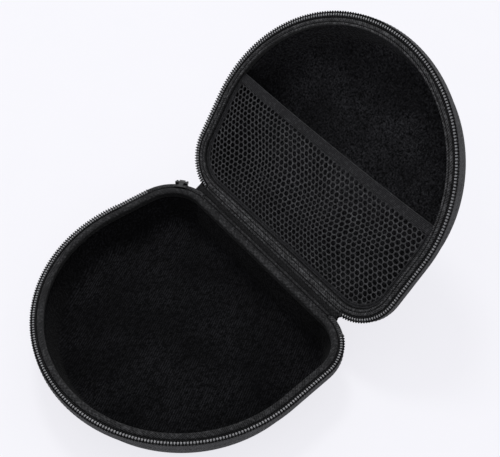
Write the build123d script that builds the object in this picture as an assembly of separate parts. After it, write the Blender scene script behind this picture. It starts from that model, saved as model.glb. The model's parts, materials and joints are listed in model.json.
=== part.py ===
from build123d import *

import math
import os

# Hard headphone carrying case: two domed halves joined by a fabric hinge and closed by a zip.
# Frame: origin at the centre of the base's flat underside, +Z up, the hinge axis along X at the
# back (+Y). The lid stands open, as it rests. Each half is drawn in its own frame first, with the
# hinge axis on X through the origin, the half reaching towards -Y, and its depth counted away from
# the plane where the two halves meet. All sizes are in millimetres.

# ---- The outline of the rims, seen from above ----
WIDTH = 200.0  # across the widest place
FAR_CENTRE = 68.1  # hinge side to the centre of the big front arc
CORNER_RADIUS = 32.5  # the two corners at the hinge
SHOULDER = 2.1  # how far inside the widest place the hinge corners stay, on each side
HINGE_GAP = 0.7  # hinge side of the outline to the hinge axis

# ---- One half in section ----
HALF_HEIGHT = 36.0  # meeting plane to the flat outside
BAND_DEPTH = 8.0  # depth of the upright band under the rim
SIDE_SLOPE = 21.0  # degrees, how far the front and sides lean in
SPINE_SLOPE = 8.0  # degrees, the hinge side
EDGE_RADIUS = 14.0  # outside edge round the flat
RIM_DEPTH = 1.8  # meeting plane to the top of the binding
COVER = 0.9  # woven outer cover
CORE = 4.6  # moulded foam shell
LINING = 0.9
GLUE_GAP = 0.1  # between layers that are stuck together

# ---- Rim binding, zip tape and zip teeth ----
BINDING = 0.8  # thickness of the binding
BINDING_LEG = 4.4  # top of the binding to the foot of its inner leg
TAPE = 0.5  # zip tape thickness
TAPE_DEPTH = 7.5  # meeting plane to the tape's lower edge
TEETH_WIDTH = 2.8  # across the row of teeth
TEETH_TOP = 0.55  # meeting plane to the tips
TEETH_FOOT = 1.7  # meeting plane to the row's foot
LEFT_CAP_END = 88.0  # degrees round the left corner where the teeth start
RIGHT_CAP_END = 31.0  # the same at the right corner
LID_TEETH_START = 12.0  # the same at both corners of the lid
CAP_START = 6.0  # degrees round a corner where a zip end cap starts
STOP_ANGLE = 2.5  # degrees taken by a zip stop
ZIP_END_GAP = 0.3  # degrees between the pieces that follow each other along a zip

# ---- Hinge ----
OPEN_ANGLE = 126.6  # how far the lid stands open
STRIP_THICK = 0.8
STRIP_DEPTH = 9.0  # how far the strip reaches on to each half
STRIP_AXIS_GAP = 0.35  # hinge axis to the strip's outer face
STRIP_END = 2.0  # end of the straight hinge side to the strip's end

# ---- Pocket in the lid ----
POCKET_DEPTH = 86.5  # hinge axis to the hem's open edge
HEM_WIDTH = 7.0
HEM_THICK = 1.6
NET_THICK = 0.8
NET_DEPTH = 4.0  # meeting plane to the net
NET_CLEAR = 0.2  # net to the binding's inner leg
EDGE_TAPE_WIDTH = 3.0
EDGE_TAPE_THICK = 0.6

# ---- Zip slider and its pull ----
PARK_ANGLE = 40.0  # degrees round the left corner from the hinge side
SLIDER_LENGTH = 9.0
SLIDER_CLEAR = 0.3  # slider to tape and teeth
PLATE = 1.2  # outer plate thickness
INNER_PLATE = 0.7
PLATE_ABOVE = 0.4  # above the meeting plane
PLATE_BELOW = 5.5
INNER_BELOW = 1.5
WEB_HALF = 0.3  # half thickness of the web between the two rows of teeth
WEB_LENGTH = 3.5
BAR_RADIUS = 0.6
BAR_DEPTH = 2.2  # meeting plane to the pull's bar
BAR_POST = 1.4  # length of each post along the slider
POST_INSET = 0.08  # end of the bar's middle line to the middle of a post
POST_MARGIN = 0.2  # post above and below the bar
KNUCKLE_WALL = 0.75
KNUCKLE_CLEAR = 0.07
KNUCKLE_LENGTH = 4.0
LINK_WIDTH = 4.0
LINK_THICK = 1.0
LINK_LENGTH = 14.0
GRIP_WIDTH = 7.5
GRIP_THICK = 2.6
GRIP_LENGTH = 19.0
GRIP_TOP = 6.0  # bar to the grip's upper end
GRIP_FIT = 0.05
GRIP_END_FLAT = 0.6  # half the straight bit between the rounded corners of an end
GRIP_EDGE = 0.8  # rounding of the grip's long edges

# ---- Worked out from the sizes above ----
FAR_RADIUS = WIDTH / 2
HINGE_HALF = FAR_RADIUS - SHOULDER - CORNER_RADIUS  # half of the straight hinge side
WALL = COVER + GLUE_GAP + CORE + GLUE_GAP + LINING
COVER_INSET = TAPE + GLUE_GAP  # outline to the cover's outer face
SHELL_RIM = RIM_DEPTH + BINDING + GLUE_GAP  # meeting plane to the top of the shell layers
CORE_START = COVER + GLUE_GAP
LINING_START = CORE_START + CORE + GLUE_GAP
BINDING_IN = COVER_INSET + WALL + GLUE_GAP + BINDING  # outline to the binding's inner face
EDGE_CENTRE = HALF_HEIGHT - EDGE_RADIUS
LEAST_SECTION = 0.1  # two sections nearer than this are one
EDGE_SECTIONS = (36, 50, 64, 78, 90)  # degrees round the outside edge, past both walls' slopes
SPINE_LAP = 1.0  # degrees by which a cut round a corner overlaps the cut over the hinge side


def edge_centre_inset(slope):
    """Outline to the centre of the outside edge's radius, on a wall that leans by slope degrees."""
    lean = math.radians(slope)
    return COVER_INSET + (EDGE_CENTRE - BAND_DEPTH) * math.tan(lean) + EDGE_RADIUS / math.cos(lean)


UNDERSIDE_BACK = HINGE_GAP + edge_centre_inset(SPINE_SLOPE)
UNDERSIDE_FRONT = HINGE_GAP + FAR_CENTRE + FAR_RADIUS - edge_centre_inset(SIDE_SLOPE)
AXIS_Y = (UNDERSIDE_BACK + UNDERSIDE_FRONT) / 2  # puts the origin at the underside's centre
CORNER = Vector(HINGE_HALF, -(HINGE_GAP + CORNER_RADIUS), 0)


def wall_inset(depth, layer, slope):
    """Inset at a depth of the surface that lies layer millimetres inside the cover's outer face."""
    lean = math.radians(slope)
    radius = EDGE_RADIUS - layer
    if depth < EDGE_CENTRE + radius * math.sin(lean):
        leaning = layer / math.cos(lean) + (depth - BAND_DEPTH) * math.tan(lean)
        return COVER_INSET + max(layer, leaning)
    rise = min(depth - EDGE_CENTRE, radius)
    return edge_centre_inset(slope) - math.sqrt(radius**2 - rise**2)


def outline(inset, spine_inset=None):
    """Face of the rim outline, moved in by inset all round, or by spine_inset at the hinge side."""
    spine = inset if spine_inset is None else spine_inset
    far = FAR_RADIUS - inset
    far_y = -(HINGE_GAP + FAR_CENTRE)
    spread = math.hypot(HINGE_HALF, FAR_CENTRE - CORNER_RADIUS)
    rise = math.atan2(FAR_CENTRE - CORNER_RADIUS, HINGE_HALF)
    normal = rise - math.acos((FAR_RADIUS - CORNER_RADIUS) / spread)
    out = Vector(math.cos(normal), math.sin(normal), 0)
    radius = CORNER_RADIUS - (inset + spine) / 2
    top = -(HINGE_GAP + spine)
    corner_y = top - radius
    corner_x = (far_y * out.Y + far - radius - corner_y * out.Y) / out.X
    middle = (math.pi / 2 + normal) / 2
    start = Vector(corner_x, top, 0)
    between = Vector(corner_x + radius * math.cos(middle), corner_y + radius * math.sin(middle), 0)
    corner_end = Vector(corner_x, corner_y, 0) + out * radius
    flank_end = Vector(0, far_y, 0) + out * far
    front = Vector(0, far_y - far, 0)
    slant = (normal - math.pi / 2) / 2
    bow = Vector(far * math.cos(slant), far_y + far * math.sin(slant), 0)

    def left(point):
        return Vector(-point.X, point.Y, 0)

    edges = [
        Line(left(start), start),
        ThreePointArc(start, between, corner_end),
        Line(corner_end, flank_end),
        ThreePointArc(flank_end, bow, front),
        ThreePointArc(front, left(bow), left(flank_end)),
        Line(left(flank_end), left(corner_end)),
        ThreePointArc(left(corner_end), left(between), left(start)),
    ]
    return Face(Wire(edges))


def section_depths(layer):
    """Depths where a layer's surface is sectioned: band, leaning wall and the rounded edge."""
    depths = [SHELL_RIM]
    for slope in (SIDE_SLOPE, SPINE_SLOPE):
        bend = BAND_DEPTH - layer * math.tan(math.radians(slope) / 2)
        if bend - depths[-1] > LEAST_SECTION:
            depths.append(bend)
    for angle in (SPINE_SLOPE, SIDE_SLOPE, *EDGE_SECTIONS):
        depths.append(EDGE_CENTRE + (EDGE_RADIUS - layer) * math.sin(math.radians(angle)))
    return depths


def dome(layer, overshoot=0.0):
    """Solid inside the surface that lies layer inside the cover's face, its rim overshoot higher."""
    sections = []
    for depth in section_depths(layer):
        face = outline(wall_inset(depth, layer, SIDE_SLOPE), wall_inset(depth, layer, SPINE_SLOPE))
        sections.append(Pos(0, 0, -depth) * face)
    solid = loft(sections, ruled=True)
    if overshoot:
        top = outline(wall_inset(SHELL_RIM, layer, SIDE_SLOPE))
        solid += extrude(Pos(0, 0, -SHELL_RIM) * top, overshoot, dir=(0, 0, 1))
    return solid


def ring(outer, inner, top, foot):
    """Band round the rim between two insets, from depth top to depth foot."""
    band = outline(outer) - outline(inner)
    return extrude(Pos(0, 0, -foot) * band, foot - top, dir=(0, 0, 1))


def wedge(side, start, end):
    """Block round a hinge corner's axis, between two angles from the hinge side's direction."""
    reach = 3 * CORNER_RADIUS
    steps = max(2, math.ceil((end - start) / 30) + 1)
    points = [Vector(0, 0, 0)]
    for step in range(steps):
        angle = math.radians(start + (end - start) * step / (steps - 1))
        points.append(Vector(side * reach * math.sin(angle), reach * math.cos(angle), 0))
    face = make_face(Polyline(*points, close=True))
    block = extrude(face, 4 * HALF_HEIGHT, dir=(0, 0, 1))
    return Pos(side * CORNER.X, CORNER.Y, -2 * HALF_HEIGHT) * block


def spine_block():
    """Block over the straight hinge side, where no zip runs."""
    return Pos(0, CORNER.Y / 2, 0) * Box(2 * HINGE_HALF, 2 * CORNER_RADIUS, 4 * HALF_HEIGHT)


def zip_run(band, left_start, right_start):
    """A band with the hinge side and the first stretch round each corner taken away."""
    return band - spine_block() - wedge(-1, -SPINE_LAP, left_start) - wedge(1, -SPINE_LAP, right_start)


def teeth_ring():
    return ring(0, TEETH_WIDTH, TEETH_TOP, TEETH_FOOT)


def half_layers():
    """The five layers that both halves share, in the half's own frame, below the meeting plane."""
    binding = ring(COVER_INSET, BINDING_IN, RIM_DEPTH, RIM_DEPTH + BINDING)
    binding += ring(BINDING_IN - BINDING, BINDING_IN, RIM_DEPTH + BINDING / 2, RIM_DEPTH + BINDING_LEG)
    return {
        "cover": dome(0) - dome(COVER, BINDING),
        "core": dome(CORE_START) - dome(CORE_START + CORE, BINDING),
        "lining": dome(LINING_START) - dome(WALL, BINDING),
        "rim_binding": binding,
    }


def zip_end_cap(side, end):
    """Folded fabric that closes the zip's end at a corner of the base."""
    band = teeth_ring() + ring(0, TAPE, TEETH_FOOT - GLUE_GAP, TAPE_DEPTH)
    return band & wedge(side, CAP_START, end)


def build_base():
    parts = {}
    for name, solid in half_layers().items():
        parts["base_" + name] = solid
    tape = ring(0, TAPE, TEETH_FOOT + GLUE_GAP, TAPE_DEPTH)
    right_teeth = RIGHT_CAP_END + STOP_ANGLE
    parts["base_zip_tape"] = zip_run(tape, LEFT_CAP_END + ZIP_END_GAP, RIGHT_CAP_END + ZIP_END_GAP)
    parts["base_zip_teeth"] = zip_run(teeth_ring(), LEFT_CAP_END + ZIP_END_GAP, right_teeth)
    parts["base_zip_stop"] = teeth_ring() & wedge(1, RIGHT_CAP_END + ZIP_END_GAP, right_teeth - ZIP_END_GAP)
    parts["left_zip_end_cap"] = zip_end_cap(-1, LEFT_CAP_END)
    parts["right_zip_end_cap"] = zip_end_cap(1, RIGHT_CAP_END)
    return parts


def build_lid():
    """The lid's pieces, drawn like the base's, below the meeting plane."""
    parts = {}
    for name, solid in half_layers().items():
        parts["lid_" + name] = solid
    start = LID_TEETH_START
    tape = ring(0, TAPE, TEETH_FOOT + GLUE_GAP, TAPE_DEPTH)
    parts["lid_zip_tape"] = zip_run(tape, start - STOP_ANGLE, start - STOP_ANGLE)
    parts["lid_zip_teeth"] = zip_run(teeth_ring(), start, start)
    left_stop = teeth_ring() & wedge(-1, start - STOP_ANGLE, start - ZIP_END_GAP)
    right_stop = teeth_ring() & wedge(1, start - STOP_ANGLE, start - ZIP_END_GAP)
    parts["lid_zip_stops"] = Compound(children=[left_stop, right_stop])
    inset = BINDING_IN + NET_CLEAR
    front = Pos(0, -POCKET_DEPTH - WIDTH / 2, 0) * Box(2 * WIDTH, WIDTH, 4 * HALF_HEIGHT)
    hem_zone = Pos(0, -POCKET_DEPTH + HEM_WIDTH / 2, 0) * Box(2 * WIDTH, HEM_WIDTH, 4 * HALF_HEIGHT)
    spare = Pos(0, -GLUE_GAP, 0) * hem_zone + Pos(0, GLUE_GAP, 0) * hem_zone
    hem_top = NET_DEPTH - (HEM_THICK - NET_THICK) / 2
    net = extrude(Pos(0, 0, -NET_DEPTH) * outline(inset), NET_THICK, dir=(0, 0, -1))
    hem = extrude(Pos(0, 0, -hem_top) * outline(inset), HEM_THICK, dir=(0, 0, -1))
    tape_foot = NET_DEPTH - GLUE_GAP
    edge_tape = ring(inset, inset + EDGE_TAPE_WIDTH, tape_foot - EDGE_TAPE_THICK, tape_foot)
    parts["pocket_net"] = net - front - spare
    parts["pocket_hem"] = hem & hem_zone
    parts["pocket_edge_tape"] = edge_tape - front - spare
    return parts


def hinge_strip():
    """Fabric strip along the hinge, folded at the axis, one leg on each half's back."""
    length = 2 * (HINGE_HALF - STRIP_END)
    axis_radius = STRIP_AXIS_GAP + STRIP_THICK
    middle_y = -(STRIP_AXIS_GAP + STRIP_THICK / 2)
    leg = Pos(0, middle_y, -STRIP_DEPTH / 2) * Box(length, STRIP_THICK, STRIP_DEPTH)
    lid_leg = Rot(-OPEN_ANGLE, 0, 0) * Pos(0, middle_y, STRIP_DEPTH / 2) * Box(
        length, STRIP_THICK, STRIP_DEPTH
    )
    fold = Rot(0, 90, 0) * Cylinder(axis_radius, length)
    return leg + lid_leg + fold


def arc_block(inner, outer, length, low, high):
    """Block along the corner's arc, centred on +X, between two radii and two heights."""
    half = math.degrees(length / 2 / CORNER_RADIUS)
    annulus = Circle(outer) - Circle(inner)
    reach = 2 * outer
    edge = Vector(reach * math.cos(math.radians(half)), reach * math.sin(math.radians(half)), 0)
    mirrored = Vector(edge.X, -edge.Y, 0)
    face = make_face(Polyline(Vector(0, 0, 0), mirrored, edge, close=True)) & annulus
    return extrude(Pos(0, 0, low) * face, high - low, dir=(0, 0, 1))


BAR_OFFSET = SLIDER_CLEAR + PLATE + SLIDER_CLEAR + BAR_RADIUS + KNUCKLE_CLEAR + KNUCKLE_WALL


def slider_body():
    """Slider that wraps the teeth: outer plate, thin web, inner plate, and the bar for the pull."""
    plate_in = CORNER_RADIUS + SLIDER_CLEAR
    plate_out = plate_in + PLATE
    inner_out = CORNER_RADIUS - TEETH_WIDTH - SLIDER_CLEAR
    inner_in = inner_out - INNER_PLATE
    body = arc_block(plate_in, plate_out, SLIDER_LENGTH, -PLATE_BELOW, PLATE_ABOVE)
    body += arc_block(inner_in, inner_out, SLIDER_LENGTH, -INNER_BELOW, PLATE_ABOVE)
    web = arc_block(inner_in, plate_out, WEB_LENGTH, -WEB_HALF, WEB_HALF)
    body += web
    bar_x = CORNER_RADIUS + BAR_OFFSET
    body += Pos(bar_x, 0, -BAR_DEPTH) * Rot(90, 0, 0) * Cylinder(BAR_RADIUS, SLIDER_LENGTH - BAR_POST)
    post_long = bar_x + BAR_RADIUS - (plate_in + PLATE / 2)
    for side in (-1, 1):
        y = side * ((SLIDER_LENGTH - BAR_POST) / 2 - POST_INSET)
        x = bar_x + BAR_RADIUS - post_long / 2
        body += Pos(x, y, -BAR_DEPTH) * Box(post_long, BAR_POST, 2 * (BAR_RADIUS + POST_MARGIN))
    return body


def pull_pieces():
    """The pull's metal link with its knuckle, and the moulded grip on it, hanging from the bar."""
    bore = BAR_RADIUS + KNUCKLE_CLEAR
    wall = bore + KNUCKLE_WALL
    knuckle = Rot(90, 0, 0) * Cylinder(wall, KNUCKLE_LENGTH)
    link = Pos(0, 0, -LINK_LENGTH / 2) * Box(LINK_THICK, LINK_WIDTH, LINK_LENGTH)
    metal = knuckle + link - Rot(90, 0, 0) * Cylinder(bore, 2 * KNUCKLE_LENGTH)
    grip = Box(GRIP_THICK, GRIP_WIDTH, GRIP_LENGTH)
    grip = fillet(grip.edges().filter_by(Axis.X), GRIP_WIDTH / 2 - GRIP_END_FLAT)
    grip = fillet(grip.faces().filter_by(Axis.X).edges(), GRIP_EDGE)
    grip = Pos(0, 0, -GRIP_TOP - GRIP_LENGTH / 2) * grip
    sleeve = LINK_LENGTH + GRIP_FIT
    slot = Pos(0, 0, -sleeve / 2) * Box(LINK_THICK + 2 * GRIP_FIT, LINK_WIDTH + 2 * GRIP_FIT, sleeve)
    place = Pos(CORNER_RADIUS + BAR_OFFSET, 0, -BAR_DEPTH)
    return {"pull_link": place * metal, "pull_grip": place * (grip - slot)}


def build_all():
    to_base = Pos(0, AXIS_Y, HALF_HEIGHT)
    to_lid = to_base * Rot(-OPEN_ANGLE, 0, 0)
    park = to_base * Pos(-CORNER.X, CORNER.Y, 0) * Rot(0, 0, 90 + PARK_ANGLE)
    nodes = {}
    for name, solid in build_base().items():
        nodes[name] = to_base * solid
    for name, solid in build_lid().items():
        nodes[name] = to_lid * mirror(solid, Plane.XY)
    nodes["hinge_strip"] = to_base * hinge_strip()
    nodes["slider_body"] = park * slider_body()
    for name, solid in pull_pieces().items():
        nodes[name] = park * solid
    return nodes


def main():
    os.makedirs("parts", exist_ok=True)
    nodes = build_all()
    for name, solid in nodes.items():
        export_step(solid, "parts/" + name + ".step")
    print("hinge axis y, z", round(AXIS_Y, 3), HALF_HEIGHT)
    print("corner axis", round(-CORNER.X, 3), round(CORNER.Y + AXIS_Y, 3))
    angle = math.radians(90 + PARK_ANGLE)
    reach = CORNER_RADIUS + BAR_OFFSET
    bar = (-CORNER.X + reach * math.cos(angle), CORNER.Y + AXIS_Y + reach * math.sin(angle))
    print("pull bar", [round(v, 3) for v in bar], HALF_HEIGHT - BAR_DEPTH)
    print("tangent angle", 180 + PARK_ANGLE)


main()
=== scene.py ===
"""Looks of a hard headphone carrying case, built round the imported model.

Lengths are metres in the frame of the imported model. Each half of the case is worked out in its own
frame first: the hinge axis lies on X through the origin, the half reaches towards -Y, and its depth
is counted from the plane where the two halves meet. A Placement then turns it into the base or the lid.
"""

import json
import logging
import math
from collections.abc import Iterator
from contextlib import contextmanager
from dataclasses import dataclass
from enum import Enum

import bmesh
import bpy
import numpy as np
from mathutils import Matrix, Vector


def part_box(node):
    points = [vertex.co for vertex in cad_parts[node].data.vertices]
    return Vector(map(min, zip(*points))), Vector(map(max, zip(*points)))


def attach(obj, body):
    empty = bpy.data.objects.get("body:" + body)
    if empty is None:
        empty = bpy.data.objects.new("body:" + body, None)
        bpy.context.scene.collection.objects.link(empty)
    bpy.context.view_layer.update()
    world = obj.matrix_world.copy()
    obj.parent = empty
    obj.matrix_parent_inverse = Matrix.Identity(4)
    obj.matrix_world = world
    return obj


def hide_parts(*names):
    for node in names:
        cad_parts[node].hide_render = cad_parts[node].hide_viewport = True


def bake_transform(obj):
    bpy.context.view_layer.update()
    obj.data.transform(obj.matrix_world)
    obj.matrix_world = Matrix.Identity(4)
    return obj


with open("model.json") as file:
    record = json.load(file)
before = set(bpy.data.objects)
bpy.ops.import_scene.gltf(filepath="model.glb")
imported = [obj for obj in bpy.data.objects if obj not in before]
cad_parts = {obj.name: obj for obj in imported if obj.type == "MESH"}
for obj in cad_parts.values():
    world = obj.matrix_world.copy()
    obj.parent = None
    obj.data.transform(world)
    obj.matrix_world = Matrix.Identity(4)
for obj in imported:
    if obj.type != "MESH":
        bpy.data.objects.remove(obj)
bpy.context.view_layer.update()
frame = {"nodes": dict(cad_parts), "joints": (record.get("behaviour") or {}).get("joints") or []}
MM = 0.001
log = logging.getLogger("case")


# ---------------------------------------------------------------- shader maths


class Value:
    """A shader socket that adds its own Math nodes when it is used in an expression."""

    def __init__(self, graph: "Graph", socket: bpy.types.NodeSocket) -> None:
        """Wraps one output socket of a graph."""
        self.graph = graph
        self.socket = socket

    def _math(self, operation: str, *inputs: object) -> "Value":
        """Adds one Math node and returns its result."""
        return self.graph.node("ShaderNodeMath", {"operation": operation}, dict(enumerate(inputs)))

    def __add__(self, other: object) -> "Value":
        """self + other."""
        return self._math("ADD", self, other)

    __radd__ = __add__

    def __sub__(self, other: object) -> "Value":
        """self - other."""
        return self._math("SUBTRACT", self, other)

    def __rsub__(self, other: object) -> "Value":
        """other - self."""
        return self._math("SUBTRACT", other, self)

    def __mul__(self, other: object) -> "Value":
        """self * other."""
        return self._math("MULTIPLY", self, other)

    def sine(self) -> "Value":
        """The sine of a value in radians."""
        return self._math("SINE", self)

    def magnitude(self) -> "Value":
        """The value without its sign."""
        return self._math("ABSOLUTE", self)

    def between(self, low: float, high: float) -> "Value":
        """A smooth step: 0 below low, 1 above high."""
        inputs = {"Value": self, "From Min": low, "From Max": high}
        return self.graph.node("ShaderNodeMapRange", {"interpolation_type": "SMOOTHSTEP"}, inputs)


class Graph:
    """The node tree of one material, with its Principled shader."""

    def __init__(self, name: str) -> None:
        """Starts a material with an empty Principled shader."""
        self.material = bpy.data.materials.new(name)
        self.material.use_nodes = True
        self.tree = self.material.node_tree
        self.shader = next(n for n in self.tree.nodes if n.type == "BSDF_PRINCIPLED")

    def plug(self, socket: bpy.types.NodeSocket, value: object) -> None:
        """Links a value to a socket, or sets the socket's number or colour."""
        if isinstance(value, Value):
            self.tree.links.new(value.socket, socket)
        elif isinstance(value, tuple) and len(value) == 3 and socket.type == "RGBA":
            socket.default_value = (*value, 1.0)
        else:
            socket.default_value = value

    def node(self, kind: str, settings: dict, inputs: dict, output: int | str = 0) -> Value:
        """Adds any node.

        Args:
            kind: The node's type name.
            settings: Its own settings, set before its inputs.
            inputs: Values or links by socket name or number.
            output: The name or number of the output wanted.

        Returns:
            That output as a Value.
        """
        made = self.tree.nodes.new(kind)
        for key, value in settings.items():
            setattr(made, key, value)
        for key, value in inputs.items():
            self.plug(made.inputs[key], value)
        return Value(self, made.outputs[output])

    def cloth_map(self) -> tuple[Value, Value]:
        """The piece's own two cloth coordinates, in millimetres; a swept band's first runs across it."""
        first = self.node("ShaderNodeSeparateXYZ", {}, {0: self.node("ShaderNodeUVMap", {"uv_map": CLOTH_MAP}, {})})
        return first, Value(self, first.socket.node.outputs[1])

    def place(self) -> Value:
        """Object coordinates."""
        return self.node("ShaderNodeTexCoord", {}, {}, "Object")

    def height(self) -> Value:
        """Height over the floor, in metres, from the object coordinates."""
        return self.node("ShaderNodeSeparateXYZ", {}, {0: self.place()}, 2)

    def noise(
        self, per_mm: float, detail: float = 2.0, rough: float = 0.5, stretch: tuple | None = None
    ) -> Value:
        """Noise on object coordinates.

        Args:
            per_mm: Waves in one millimetre.
            detail: Octaves.
            rough: How strong the finer octaves are.
            stretch: Scale along X, Y and Z, or None.

        Returns:
            The noise, from 0 to 1.
        """
        vector = self.place()
        if stretch is not None:
            vector = self.node("ShaderNodeMapping", {}, {"Vector": vector, "Scale": stretch})
        return self.node(
            "ShaderNodeTexNoise",
            {"noise_dimensions": "3D"},
            {"Vector": vector, "Scale": per_mm / MM, "Detail": detail, "Roughness": rough},
        )

    def blend(self, factor: object, first: object, second: object) -> Value:
        """A colour between two, by a factor from 0 to 1."""
        return self.node("ShaderNodeMix", {"data_type": "RGBA"}, {"Factor": factor, 6: first, 7: second}, 2)

    def bump(self, height: Value, depth_mm: float) -> None:
        """Feeds a height from 0 to 1, depth_mm high, to the shader's normal."""
        inputs = {"Strength": 1.0, "Distance": depth_mm * MM, "Height": height}
        normal = self.node("ShaderNodeBump", {}, inputs)
        self.plug(self.shader.inputs["Normal"], normal)

    def finish(self, **sockets: object) -> bpy.types.Material:
        """Sets the shader's sockets, by names with underscores for spaces, and returns the material."""
        for name, value in sockets.items():
            self.plug(self.shader.inputs[name.replace("_", " ")], value)
        return self.material


CLOTH_MAP = "cloth"
TURN = 2 * math.pi


class Weave(Enum):
    """How a cloth is made up."""

    TWILL = "diagonal ribs"
    PLAIN = "over and under"
    RIB = "ribs along the cloth"
    JERSEY = "brushed knit"


@dataclass(frozen=True)
class Cloth:
    """A woven or knitted finish. Its pattern follows the piece's cloth map."""

    name: str
    weave: Weave
    dark: tuple[float, float, float]
    light: tuple[float, float, float]
    pitch: float  # millimetres from one rib or stitch to the next
    relief: float  # millimetres of bump
    roughness: float = 0.9
    sheen: float = 0.04
    lint: float = 1.1  # flecks in a millimetre
    mottle: float = 0.15  # how light the flecks are by themselves
    shaded_creases: tuple[float, ...] = ()  # millimetres across the band where the shade in the folds is painted darker
    inner: float | None = None  # millimetres across it where the cloth turns down inside, past which its shade is painted darker, or None

    def height(self, graph: Graph) -> Value:
        """The height of the weave, 0 to 1, as waves along and across the cloth."""
        along, across = graph.cloth_map()
        wave = TURN / self.pitch
        if self.weave is Weave.TWILL:
            ribs = ((along + across) * wave).sine() * 0.5 + 0.5
            crossing = ((along - across) * (wave * 0.5)).sine() * 0.5 + 0.5
            return ribs * 0.75 + crossing * 0.25
        if self.weave is Weave.PLAIN:
            over = (along * wave).sine() * (across * wave).sine()
            return over * 0.5 + 0.5
        if self.weave is Weave.RIB:
            ribs = (across * wave).sine() * 0.5 + 0.5
            return ribs * 0.85 + ((along * (wave * 0.7)).sine() * 0.5 + 0.5) * 0.15
        fleck = graph.noise(1.0 / self.pitch, 3.0, 0.6)
        return fleck.between(0.35, 0.68)

    def build(self) -> bpy.types.Material:
        """Returns the material: weave in colour, roughness and bump, with wear and lint over it, and painted shade in
        the folds and down the inside.
        """
        graph = Graph(self.name)
        weave = self.height(graph)
        lint = graph.noise(self.lint, 2.0, 0.7).between(0.48, 0.68)
        cloudy = graph.noise(0.06, 3.0, 0.6)
        tone = weave * (0.2 + cloudy * 0.7) + lint * (self.mottle + weave * 0.35)
        along, _ = graph.cloth_map()
        # Painted shade: the colour darkens along the folds and, past the turn, down the inside of the band.
        for crease in self.shaded_creases:
            tone = tone * (along - crease).magnitude().between(0.15, 0.85)
        if self.inner is not None:
            tone = tone * (1 - along.between(self.inner, self.inner + 1.2) * 0.8)
        colour = graph.blend(tone, self.dark, self.light)
        graph.bump(weave + lint * 0.3, self.relief)
        rough = self.roughness - weave * 0.12
        return graph.finish(
            Base_Color=colour, Roughness=rough, Sheen_Weight=self.sheen, Sheen_Roughness=0.4, Specular_IOR_Level=0.1
        )


@dataclass(frozen=True)
class FloorCloth:
    """Brushed lining whose flat floor is ribbed and whose walls are plain pile."""

    name: str
    dark: tuple[float, float, float]
    light: tuple[float, float, float]
    rib: float  # millimetres between ribs
    floor: float | None = None  # height in metres under which the cloth is ribbed, or None for nowhere

    def build(self) -> bpy.types.Material:
        """Returns the material: short broken ribs where the cloth map says floor, fleck elsewhere."""
        graph = Graph(self.name)
        along, across = graph.cloth_map()
        wave = TURN / self.rib
        wander = graph.noise(0.25, 2.0) * 2.2
        ribs = ((along * 0.86 + across * 0.5) * wave + wander).sine() * 0.5 + 0.5
        broken = graph.noise(0.55, 2.0, 0.6, (1.0, 0.55, 1.0)).between(0.36, 0.62)
        fleck = graph.noise(0.75, 3.0, 0.65).between(0.42, 0.7)
        if self.floor is None:
            height = broken * 0.3 + fleck * 0.8
        else:
            wall = graph.height().between(self.floor, self.floor + 6 * MM)
            height = ribs * broken * 0.75 * (1 - wall) + fleck * (0.35 + wall * 0.2)
        patches = graph.noise(0.03, 2.0, 0.5).between(0.3, 0.75)
        colour = graph.blend(height * (0.45 + patches * 0.65), self.dark, self.light)
        graph.bump(height, 0.35)
        return graph.finish(
            Base_Color=colour,
            Roughness=0.95 - fleck * 0.1,
            Sheen_Weight=0.03,
            Sheen_Roughness=0.4,
            Specular_IOR_Level=0.05,
        )


@dataclass(frozen=True)
class Moulding:
    """A moulded plastic, rubber or lacquered metal finish."""

    name: str
    colour: tuple[float, float, float]
    worn: tuple[float, float, float]
    roughness: float
    metallic: float = 0.0
    specular: float = 0.5
    grain: float = 2.0  # waves in a millimetre
    relief: float = 0.02

    def build(self) -> bpy.types.Material:
        """Returns the material: fine grain, smudges in the gloss and slightly worn high spots."""
        graph = Graph(self.name)
        grain = graph.noise(self.grain, 2.0, 0.6)
        smudge = graph.noise(0.12, 3.0, 0.6)
        colour = graph.blend(grain.between(0.55, 0.85) * 0.6, self.colour, self.worn)
        graph.bump(grain, self.relief)
        rough = self.roughness + smudge * 0.16 - 0.08
        return graph.finish(
            Base_Color=colour, Roughness=rough, Metallic=self.metallic, Specular_IOR_Level=self.specular
        )


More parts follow.
